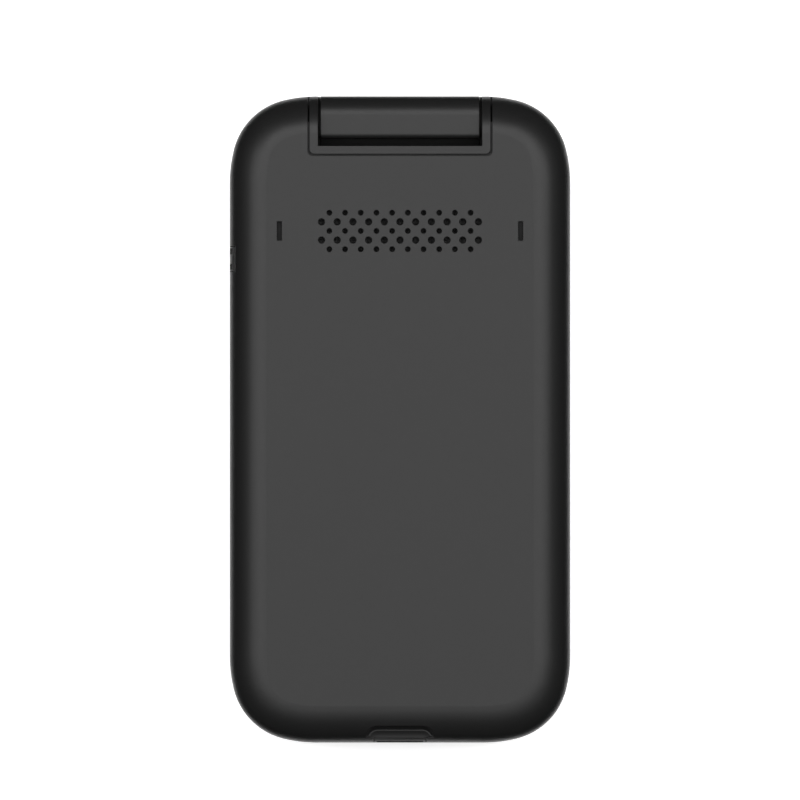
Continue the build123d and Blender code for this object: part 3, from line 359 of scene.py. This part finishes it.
BLACK_PLASTIC = (0.009, 0.009, 0.009)
LOW_SHEEN = {"Specular_IOR_Level": 0.22}
INK = {"roughness": 0.5, "grain": 5000, "depth": 2e-6, "edge": 0}
PAPER = {"roughness": 0.35, "grain": 1500, "depth": 2e-6, "edge": 0}
# near-black finish for painted shade, on the floors of the slots and on the screw heads
PAINTED_SHADE_FINISH = {"roughness": 0.6, "grain": 5000, "depth": 2e-6, "edge": 0, "Specular_IOR_Level": 0.1}
SCREEN_ASLEEP = (0.011, 0.012, 0.015)
MAIN_MARGINS = (2.2 * MM, 4.4 * MM, 4.0 * MM)
OUTER_MARGINS = (2.6 * MM, 4.0 * MM, 3.6 * MM)
CAMERA_RINGS = (
    (0.0, DARK),
    (0.2, (0.012, 0.008, 0.03)),
    (0.34, DARK),
    (0.5, (0.02, 0.02, 0.022)),
    (0.6, DARK),
    (0.9, (0.006, 0.006, 0.007)),
)
FLASH_RINGS = ((0.0, (0.8, 0.7, 0.36)), (0.45, (0.78, 0.74, 0.6)), (1.0, (0.62, 0.62, 0.6)))
FLASH_RIDGE = 0.16 * MM


def make_materials():
    """One material for each slot of the record, for the navigation ring and for each mark."""
    return {
        "shell": moulded("shell", BLACK_PLASTIC, 0.4, 6000, 5e-6, **LOW_SHEEN),
        "housing": moulded("housing", BLACK_PLASTIC, 0.4, 5000, 5e-6, **LOW_SHEEN),
        "key": moulded("key", (0.018, 0.018, 0.019), 0.3, 7000, 2e-6, Specular_IOR_Level=0.35),
        "component": moulded("component", (0.014, 0.014, 0.014), 0.45, 3000, 6e-6),
        "battery": moulded("battery", (0.02, 0.021, 0.023), 0.4, 2500, 4e-6),
        "rubber": moulded("rubber", (0.016, 0.016, 0.016), 0.8, 4000, 8e-6, **LOW_SHEEN),
        "display": moulded("display", (0.012, 0.014, 0.018), 0.2, 2000, 1e-6),
        "diffuser": moulded("diffuser", (0.8, 0.78, 0.68), 0.25, 4000, 4e-6),
        "flex": film("flex", (0.3, 0.12, 0.02), (0.45, 0.2, 0.06), 0.35 * MM),
        "board": circuit("board", (0.012, 0.08, 0.04), (0.06, 0.22, 0.1)),
        "lens": moulded("lens", (0.006, 0.006, 0.007), GLASS_ROUGHNESS, 900, 2e-7),
        "steel": drawn_metal("steel", (0.55, 0.55, 0.56), 0.3),
        "dark_metal": drawn_metal("dark_metal", (0.16, 0.16, 0.165), 0.32),
        "nav_ring": drawn_metal("nav_metal", (0.035, 0.035, 0.037), 0.38),
        "mesh": woven("mesh", (0.012, 0.012, 0.012), 0.22 * MM),
        "gold": drawn_metal("gold", (0.75, 0.55, 0.22), 0.25),
        "white_ink": moulded("white_ink", (0.62, 0.63, 0.64), **INK),
        "green_ink": moulded("green_ink", (0.03, 0.42, 0.08), **INK),
        "red_ink": moulded("red_ink", (0.55, 0.03, 0.025), **INK),
        "label": moulded("label", (0.42, 0.43, 0.44), **PAPER),
        "label_band": moulded("label_band", (0.02, 0.09, 0.2), **PAPER),
        # painted shade: near black, where slots and screw heads would lie in shade
        "painted_shade": moulded("painted_shade", (0.006, 0.006, 0.006), **PAINTED_SHADE_FINISH),
    }


def make_windows():
    """The glass of both screens and of the camera, and the ribbed lens of the flash."""
    return {
        "main_lens": glass_panel("main_glass", "main_lens", MAIN_MARGINS, SCREEN_ASLEEP),
        "outer_lens": glass_panel("outer_glass", "outer_lens", OUTER_MARGINS, SCREEN_ASLEEP),
        "camera_window": ringed("camera_glass", "camera_window", CAMERA_RINGS, Coat_Weight=1.0),
        "flash_lens": ringed("flash_glass", "flash_lens", FLASH_RINGS, FLASH_RIDGE),
    }


def dress_nodes(materials, windows):
    """Gives every CAD node its own window or finish, or else the finish of its slot."""
    slots = {part["node"]: part["material_slot"] for part in frame["record"]["subparts"]}
    for name, node in nodes.items():
        node.data.materials.clear()
        own = windows.get(name) or materials.get(name)
        node.data.materials.append(own or materials[slots[name]])


# ---------------------------------------------------------------- outlines and their meshes
INK_HIGH = 0.015 * MM                   # a print stands this far out of its surface
QUARTERS = (0, 90, 180, 270)            # degrees
ROUND_STEPS = 10                        # steps along an arc
CORNER_STEPS = 4                        # along a round corner
TIP_STEPS = 3                           # along the inside of a handset's ends
HANDSET_GRIP = 0.68                     # radii, as shares of the radius of its back
HANDSET_INSIDE = 0.42
HANDSET_ANGLES = (22, 42, 50)           # degrees: where its end, its inside and its grip start
CAP_SHARE = 0.72                        # height of a capital, as a share of the font's size
LETTER_STEPS = 4
LATHE_STEPS = 72


def turned(points, angle):
    """The points turned about the middle, in degrees."""
    c, s = math.cos(math.radians(angle)), math.sin(math.radians(angle))
    return [(c * x - s * y, s * x + c * y) for x, y in points]


def arc(radius, start, end, middle=(0, 0), steps=ROUND_STEPS):
    """Points on a circle, between two angles in degrees."""
    turns = [math.radians(start + (end - start) * k / steps) for k in range(steps + 1)]
    return [(middle[0] + radius * math.cos(t), middle[1] + radius * math.sin(t)) for t in turns]


def rounded(width, height, corner):
    """Outline of a rectangle with round corners."""
    x, y = width / 2 - corner, height / 2 - corner
    outline = []
    for middle, start in zip(((x, y), (-x, y), (-x, -y), (x, -y)), QUARTERS):
        outline += arc(corner, start, start + 90, middle, CORNER_STEPS)
    return outline


def cross(reach, stroke):
    """Outline of a plus sign. stroke is half the width of its bars."""
    quarter = [(reach, stroke), (stroke, stroke), (stroke, reach)]
    return [p for angle in QUARTERS for p in turned(quarter, angle)]


def handset(back):
    """Outline of a telephone handset that lies with its back up, by the radius of its back."""
    end, inside, grip = HANDSET_ANGLES
    hollow = back * HANDSET_INSIDE
    outline = arc(back, end, 180 - end)
    outline += arc(hollow, 180 - end, 180 - inside, steps=TIP_STEPS)
    outline += arc(back * HANDSET_GRIP, 180 - grip, grip)
    return outline + arc(hollow, inside, end, steps=TIP_STEPS)


def corners_of(mesh):
    """Lowest and highest corner of a mesh."""
    corners = [v.co for v in mesh.vertices]
    return (
        Vector([min(c[k] for c in corners) for k in range(3)]),
        Vector([max(c[k] for c in corners) for k in range(3)]),
    )


def to_mesh(name, curve):
    """The mesh of a curve or a text."""
    holder = add_object(name + "_curve", curve)
    bpy.context.view_layer.update()
    ready = holder.evaluated_get(bpy.context.evaluated_depsgraph_get())
    mesh = bpy.data.meshes.new_from_object(ready)
    bpy.data.objects.remove(holder)
    mesh.name = name
    return mesh


def ink_mesh(name, outlines):
    """A thin raised print of closed outlines in the XY plane, from Z = 0 up."""
    curve = bpy.data.curves.new(name, "CURVE")
    curve.dimensions = "2D"
    curve.fill_mode = "BOTH"
    curve.extrude = INK_HIGH / 2
    for outline in outlines:
        spline = curve.splines.new("POLY")
        spline.points.add(len(outline) - 1)
        spline.use_cyclic_u = True
        for point, (x, y) in zip(spline.points, outline):
            point.co = (x, y, INK_HIGH / 2, 1)
    return to_mesh(name, curve)


def letter_mesh(name, text, height):
    """Printed characters of that height, with their middle at the origin."""
    curve = bpy.data.curves.new(name, "FONT")
    curve.body = text
    curve.size = height / CAP_SHARE
    curve.resolution_u = LETTER_STEPS
    curve.extrude = INK_HIGH / 2
    mesh = to_mesh(name, curve)
    low, high = corners_of(mesh)
    middle = (low + high) / 2
    mesh.transform(Matrix.Translation((-middle.x, -middle.y, -low.z)))
    return mesh


def lathed(name, profile):
    """A closed ring round the X axis. profile is its section, as (x, radius)."""
    corners = [
        (x, radius * math.cos(turn), radius * math.sin(turn))
        for turn in (math.tau * k / LATHE_STEPS for k in range(LATHE_STEPS))
        for x, radius in profile
    ]
    count = len(profile)
    faces = []
    for k in range(LATHE_STEPS):
        here, there = k * count, (k + 1) % LATHE_STEPS * count
        for i in range(count):
            j = (i + 1) % count
            faces.append((here + i, here + j, there + j, there + i))
    mesh = bpy.data.meshes.new(name)
    mesh.from_pydata(corners, [], faces)
    mesh.shade_smooth()
    return mesh


# ---------------------------------------------------------------- marks
KEY_FACE = (Vector((-1, 0, 0)), Vector((0, 1, 0)))      # right and up, for who reads the face
BACK_FACE = (Vector((1, 0, 0)), Vector((0, 1, 0)))
ROCKER_FACE = (Vector((0, 0, -1)), Vector((0, 1, 0)))
DIGIT_HIGH = 4.6 * MM
DIGIT_SIDE = 2.9 * MM                   # digits stand this far left of the middle of a key
LETTER_HIGH = 1.45 * MM
LETTER_SIDE = 3.1 * MM                  # and letters this far right of it
GROWTH = {"*": 1.7, "+": 1.6}           # small characters of the font are enlarged so much
LETTERS = {2: "ABC", 3: "DEF", 4: "GHI", 5: "JKL", 6: "MNO", 7: "PQRS", 8: "TUV", 9: "WXYZ"}
SOFT_KEY_BAR = (3.4 * MM, 0.7 * MM, 0.34 * MM)          # width, height and corner
CALL_HANDSET = 2.4 * MM
CALL_ANGLE = 135                        # degrees
END_HANDSET = 2.7 * MM
ARROW_HEAD = ((0, 0.75 * MM), (-0.9 * MM, -0.45 * MM), (0.9 * MM, -0.45 * MM))
ARROW_RADIUS = 7.9 * MM                 # from the middle of the navigation ring
DOT_RADIUS = 0.8 * MM
ROCKER_MARK_IN = 3.2 * MM               # from the ends of the rocker
PLUS = (0.5 * MM, 0.1 * MM)             # reach and half the stroke
MINUS = (1.0 * MM, 0.2 * MM, 0.05 * MM)                 # width, height and corner
LABEL_MARGIN = 1.6 * MM
LABEL_CORNER = 1.5 * MM
BAND_WIDE = 5.0 * MM
BAND_CORNER = 0.8 * MM


def put(name, mesh, body, material, point, face):
    """Lays a mark at a point of a face, and lets it ride on a body."""
    right, up = face
    turn = Matrix((right, up, right.cross(up))).transposed().to_4x4()
    mesh.transform(Matrix.Translation(point) @ turn)
    mesh.materials.clear()
    mesh.materials.append(material)
    mark = add_object(name, mesh)
    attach(mark, body)
    return mark


def key_top(node, across=0.0):
    """A point of a key's face, so far to the reader's right of its middle."""
    low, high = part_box(node)
    return Vector(((low.x + high.x) / 2 - across, (low.y + high.y) / 2, low.z))


def add_key_legends(materials):
    """Digits and letters on the number keys, and a mark on each of the others."""
    white = materials["white_ink"]
    rows = [(f"key_{digit}", str(digit)) for digit in range(10)]
    legends = [
        ("digit_" + node, node, text, DIGIT_HIGH, -DIGIT_SIDE)
        for node, text in rows + [("key_star", "*"), ("key_hash", "#")]
    ] + [
        (f"letters_key_{digit}", f"key_{digit}", text, LETTER_HIGH, LETTER_SIDE)
        for digit, text in [*LETTERS.items(), (0, "+")]
    ]
    for name, node, text, height, across in legends:
        mesh = letter_mesh(name, text, height * GROWTH.get(text, 1))
        mark = put(name, mesh, node, white, key_top(node, across), KEY_FACE)
    marks = {
        "soft_key_left": (rounded(*SOFT_KEY_BAR), "white_ink"),
        "soft_key_right": (rounded(*SOFT_KEY_BAR), "white_ink"),
        "call_key": (turned(handset(CALL_HANDSET), CALL_ANGLE), "green_ink"),
        "end_key": (handset(END_HANDSET), "red_ink"),
    }
    for node, (outline, ink) in marks.items():
        mesh = ink_mesh("mark_" + node, [outline])
        low, high = corners_of(mesh)
        middle = (low + high) / 2
        mesh.transform(Matrix.Translation((-middle.x, -middle.y, 0)))
        put("mark_" + node, mesh, node, materials[ink], key_top(node), KEY_FACE)


def add_ring_marks(white):
    """Four arrow heads on the navigation ring and a dot on the select key."""
    head = [(x, y + ARROW_RADIUS) for x, y in ARROW_HEAD]
    arrows = ink_mesh("ring_arrows", [turned(head, angle) for angle in QUARTERS])
    put("ring_arrows", arrows, "nav_ring", white, key_top("nav_ring"), KEY_FACE)
    dot = ink_mesh("select_dot", [arc(DOT_RADIUS, 0, 360)[:-1]])
    put("select_dot", dot, "nav_select", white, key_top("nav_select"), KEY_FACE)


def add_rocker_marks(white):
    """A plus and a minus on the volume rocker."""
    low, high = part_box("volume_rocker")
    middle = (low + high) / 2
    end = (high.y - low.y) / 2 - ROCKER_MARK_IN
    plus = ink_mesh("volume_plus", [cross(*PLUS)])
    minus = ink_mesh("volume_minus", [rounded(*MINUS)])
    for mesh, along in ((plus, end), (minus, -end)):
        point = Vector((high.x, middle.y + along, middle.z))
        put(mesh.name, mesh, "volume_rocker", white, point, ROCKER_FACE)


def add_battery_label(materials):
    """A bare label with a coloured band at one end."""
    low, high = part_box("battery")
    middle = (low + high) / 2
    wide, long = (high.x - low.x) - 2 * LABEL_MARGIN, (high.y - low.y) - 2 * LABEL_MARGIN
    sheet = ink_mesh("battery_label", [rounded(wide, long, LABEL_CORNER)])
    top = Vector((middle.x, middle.y, high.z))
    put("battery_label", sheet, "base", materials["label"], top, BACK_FACE)
    strip = ink_mesh("battery_band", [rounded(wide - 2 * LABEL_MARGIN, BAND_WIDE, BAND_CORNER)])
    top = Vector((middle.x, low.y + 2 * LABEL_MARGIN + BAND_WIDE / 2, high.z + INK_HIGH))
    put("battery_band", strip, "base", materials["label_band"], top, BACK_FACE)


# ---------------------------------------------------------------- small trim, and painted shade in slots and screw heads
SEAL_WIDE = 0.34 * MM
SEAL_BORE = 3.1 * MM                    # radius
SEAL_SOFT = 0.06 * MM                   # rounding of their edges
WASHER_HALF = 0.1 * MM                  # half the thickness of the washers that they stand for
SLOT_SIDE = 19.45 * MM                  # from the middle of the phone
SLOT_DEEP = 0.7 * MM
SLOT_SHADE_SHEET = (0.78 * MM, 3.08 * MM, 0.3 * MM)           # width, length and corner of the dark sheet of painted shade on a slot's floor
SCREW_HEAD = 1.6 * MM                   # radius
SCREW_CROSS = (SCREW_HEAD * 0.6, SCREW_HEAD * 0.13)     # reach and half the stroke of the painted shade of a cross
HEAD_DEPTH = 0.01 * MM                  # the top corners of a head lie within this
QUADRANTS = ((1, 1), (-1, 1), (-1, -1), (1, -1))


def add_hinge_seals(rubber):
    """Soft rings that close the slits between the spine and the ears of the base."""
    low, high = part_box("thrust_washers")
    middle = (low + high) / 2
    outside = (high.y - low.y) / 2
    half, soft = SEAL_WIDE / 2, SEAL_SOFT
    profile = [(-half, SEAL_BORE), (half, SEAL_BORE), (half, outside - soft)]
    profile += [(half - soft, outside), (soft - half, outside), (-half, outside - soft)]
    for side, name in ((-1, "hinge_seal_left"), (1, "hinge_seal_right")):
        mesh = lathed(name, profile)
        mesh.transform(Matrix.Translation((side * (high.x - WASHER_HALF), middle.y, middle.z)))
        mesh.materials.append(rubber)
        seal = add_object(name, mesh)
        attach(seal, "base")
        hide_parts("thrust_washers")


def add_slot_floors(dark):
    """Painted shade: dark sheets on the floors of the two shallow slots beside the loudspeaker
    holes, where the slots' own shade would fall.
    """
    low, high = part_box("speaker_mesh")
    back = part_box("rear_cover")[1].z
    for side, name in ((-1, "slot_shade_left"), (1, "slot_shade_right")):
        mesh = ink_mesh(name, [rounded(*SLOT_SHADE_SHEET)])
        point = Vector((side * SLOT_SIDE, (low.y + high.y) / 2, back - SLOT_DEEP))
        put(name, mesh, "rear_cover", dark, point, BACK_FACE)


def add_screw_crosses(dark):
    """Painted shade: a dark cross on the head of each screw of the base, in place of its
    cross-shaped hollow.
    """
    low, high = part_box("base_screws")
    between = (low.y + high.y) / 2
    corners = [v.co for v in nodes["base_screws"].data.vertices]
    tops = [p for p in corners if p.z > high.z - HEAD_DEPTH]
    for i, j in QUADRANTS:
        own = [p for p in tops if p.x * i > 0 and (p.y - between) * j > 0]
        middle = sum(own, Vector()) / len(own)
        name = f"screw_cross_{'right' if i > 0 else 'left'}_{'high' if j > 0 else 'low'}"
        mesh = ink_mesh(name, [cross(*SCREW_CROSS)])
        put(name, mesh, "base", dark, Vector((middle.x, middle.y, high.z)), BACK_FACE)


# ---------------------------------------------------------------- studio, in metres
FLOOR_DROP = 0.05 * MM                  # below the part, so that no faces coincide
FLOOR_HALF = 1.5
FLOOR_COLOUR = (0.8, 0.8, 0.8, 1)
FLOOR_GLOW = (0.58, 1)                  # round the part, where the shadow is, and far from it
FLOOR_SHADE = (0.3, 0.8)                # distances between which it changes
WHITE = (1, 1, 1, 1)
WORLD_LIGHT = 0.3
CARD_COLOUR = (0.01, 0.01, 0.01)
CARD_NEAR = 12 * MM                     # foot of the black cards, from the part
CARD_CORNER = 28 * MM                   # round corners of the hole in the flat one
REACH = 0.165                           # the opened half stays this near to the middle
CARD_FAR = 0.7                          # top of the leaning cards, from the middle
SIDE_CARD_HIGH = 0.56
BACK_CARD_HIGH = 1.1
FRONT_CARD_HIGH = 0.8
CARD_FADE = (0.4, 0.95)                 # heights between which a card turns clear
LIGHTS = (                              # name, place, size (x, y) and power in watts
    ("top_light", (0, 0.05, 1.0), (0.9, 0.9), 3.15),
    ("left_light", (-0.62, 0.1, 0.85), (0.3, 1.0), 4.4),
    ("right_light", (0.62, 0.1, 0.85), (0.3, 1.0), 4.4),
    ("back_light", (0, 0.4, 1.0), (1.0, 0.3), 4.2),
    ("low_light", (0, 0, -1.0), (0.9, 0.9), 6.0),
)


def area_light(name, where, size, power):
    """A soft box that faces the part."""
    data = bpy.data.lights.new(name, "AREA")
    data.shape = "RECTANGLE"
    data.size, data.size_y = size
    data.energy = power
    lamp = add_object(name, data)
    lamp.location = where
    lamp.rotation_euler = (-Vector(where)).to_track_quat("-Z", "Y").to_euler()


def seen_share(tree):
    """1 for the rays that show a backdrop: the camera's, and those of metal and glass."""
    rays = tree.nodes.new("ShaderNodeLightPath").outputs
    share = rays["Is Camera Ray"]
    for kind in ("Is Glossy Ray", "Is Transmission Ray"):
        share = calculate(tree, "MAXIMUM", share, rays[kind])
    return share


def make_world():
    """A dim surround that shows as white."""
    world = bpy.data.worlds.new("world")
    bpy.context.scene.world = world
    world.use_nodes = True
    tree = world.node_tree
    dim = tree.nodes["Background"]
    dim.inputs["Color"].default_value = WHITE
    dim.inputs["Strength"].default_value = WORLD_LIGHT
    white = tree.nodes.new("ShaderNodeBackground")
    white.inputs["Color"].default_value = WHITE
    shown = mix_shaders(tree, seen_share(tree), dim.outputs[0], white.outputs[0])
    tree.links.new(shown, tree.nodes["World Output"].inputs["Surface"])


def stage_mesh(name, corners, faces, material):
    """A piece of the set. It carries no CAD body, and neither shades nor tints other things."""
    mesh = bpy.data.meshes.new(name)
    mesh.from_pydata(corners, [], faces)
    mesh.materials.append(material)
    thing = add_object(name, mesh)
    thing.visible_diffuse = False
    thing.visible_shadow = False
    return thing


def make_floor():
    """A white floor that keeps the shadow.

    It has no underside, so that the part can be seen from below."""
    material = bpy.data.materials.new("floor")
    material.use_nodes = True
    tree = material.node_tree
    tree.nodes.clear()
    matte = tree.nodes.new("ShaderNodeBsdfDiffuse")
    matte.inputs["Color"].default_value = FLOOR_COLOUR
    away = tree.nodes.new("ShaderNodeVectorMath")
    away.operation = "LENGTH"
    tree.links.new(place(tree), away.inputs[0])
    glow = tree.nodes.new("ShaderNodeEmission")
    strength = spread(tree, away.outputs["Value"], *FLOOR_GLOW, *FLOOR_SHADE)
    tree.links.new(strength, glow.inputs["Strength"])
    both = tree.nodes.new("ShaderNodeAddShader")
    tree.links.new(matte.outputs[0], both.inputs[0])
    tree.links.new(glow.outputs[0], both.inputs[1])
    seen = mix_shaders(tree, seen_share(tree), matte.outputs[0], both.outputs[0])
    below = tree.nodes.new("ShaderNodeNewGeometry").outputs["Backfacing"]
    clear = tree.nodes.new("ShaderNodeBsdfTransparent")
    one_sided = mix_shaders(tree, below, seen, clear.outputs[0])
    output = tree.nodes.new("ShaderNodeOutputMaterial")
    tree.links.new(one_sided, output.inputs["Surface"])
    ends = (-FLOOR_HALF, FLOOR_HALF)
    corners = [(x, y, -FLOOR_DROP) for y in ends for x in ends]
    stage_mesh("floor", corners, [(0, 1, 3, 2)], material)


def card_material():
    """Matt black that fades out upwards."""
    material, tree, paint = principled("card", CARD_COLOUR, 1.0)
    clear = tree.nodes.new("ShaderNodeBsdfTransparent")
    fade = spread(tree, place_axes(tree)[2], 0, 1, *CARD_FADE)
    card = mix_shaders(tree, fade, paint.outputs[0], clear.outputs[0])
    tree.links.new(card, tree.nodes["Material Output"].inputs["Surface"])
    return material


def make_cards():
    """Black cards that lean away from the part, and a flat one round it, as far as it opens.

    They darken the reflections in the part's edges, as in the photograph."""
    near_x, near_y = cad_high.x + CARD_NEAR, cad_high.y + CARD_NEAR
    open_x = near_x + (REACH - near_y)
    side = ((near_x, near_y, 0), (CARD_FAR, CARD_FAR, SIDE_CARD_HIGH))
    front = ((near_x, near_y, 0), (CARD_FAR, CARD_FAR, FRONT_CARD_HIGH))
    back = ((open_x, REACH, 0), (CARD_FAR, CARD_FAR, BACK_CARD_HIGH))
    corners = []
    for ends, sign in ((front, -1), (back, 1)):
        corners += [(i * x, sign * y, z) for x, y, z in ends for i in (-1, 1)]
    for sign in (-1, 1):
        corners += [(sign * x, i * y, z) for x, y, z in side for i in (-1, 1)]
    faces = [(k, k + 1, k + 3, k + 2) for k in range(0, len(corners), 4)]
    hole = rounded(2 * near_x, 2 * near_y, CARD_CORNER)
    rim = []
    for x, y in hole:
        wide, long = (open_x, REACH) if y > 0 else (near_x, near_y)
        rim.append((math.copysign(wide, x), math.copysign(long, y)))
    first, count = len(corners), len(hole)
    corners += [(x, y, -FLOOR_DROP / 2) for x, y in hole + rim]
    for k in range(count):
        j = (k + 1) % count
        faces.append((first + k, first + j, first + count + j, first + count + k))
    cards = stage_mesh("cards", corners, faces, card_material())
    cards.visible_camera = False


def make_studio():
    """A white floor and surround, black cards, and soft boxes on all sides.

    The one below lights the lid's face, which the floor doesn't hide from it."""
    bpy.context.scene.view_settings.view_transform = "Standard"
    make_world()
    make_floor()
    make_cards()
    for light in LIGHTS:
        area_light(*light)


make_camera()
materials = make_materials()
dress_nodes(materials, make_windows())
add_key_legends(materials)
add_ring_marks(materials["white_ink"])
add_rocker_marks(materials["white_ink"])
add_battery_label(materials)
add_screw_crosses(materials["painted_shade"])
add_hinge_seals(materials["rubber"])
add_slot_floors(materials["painted_shade"])
make_studio()
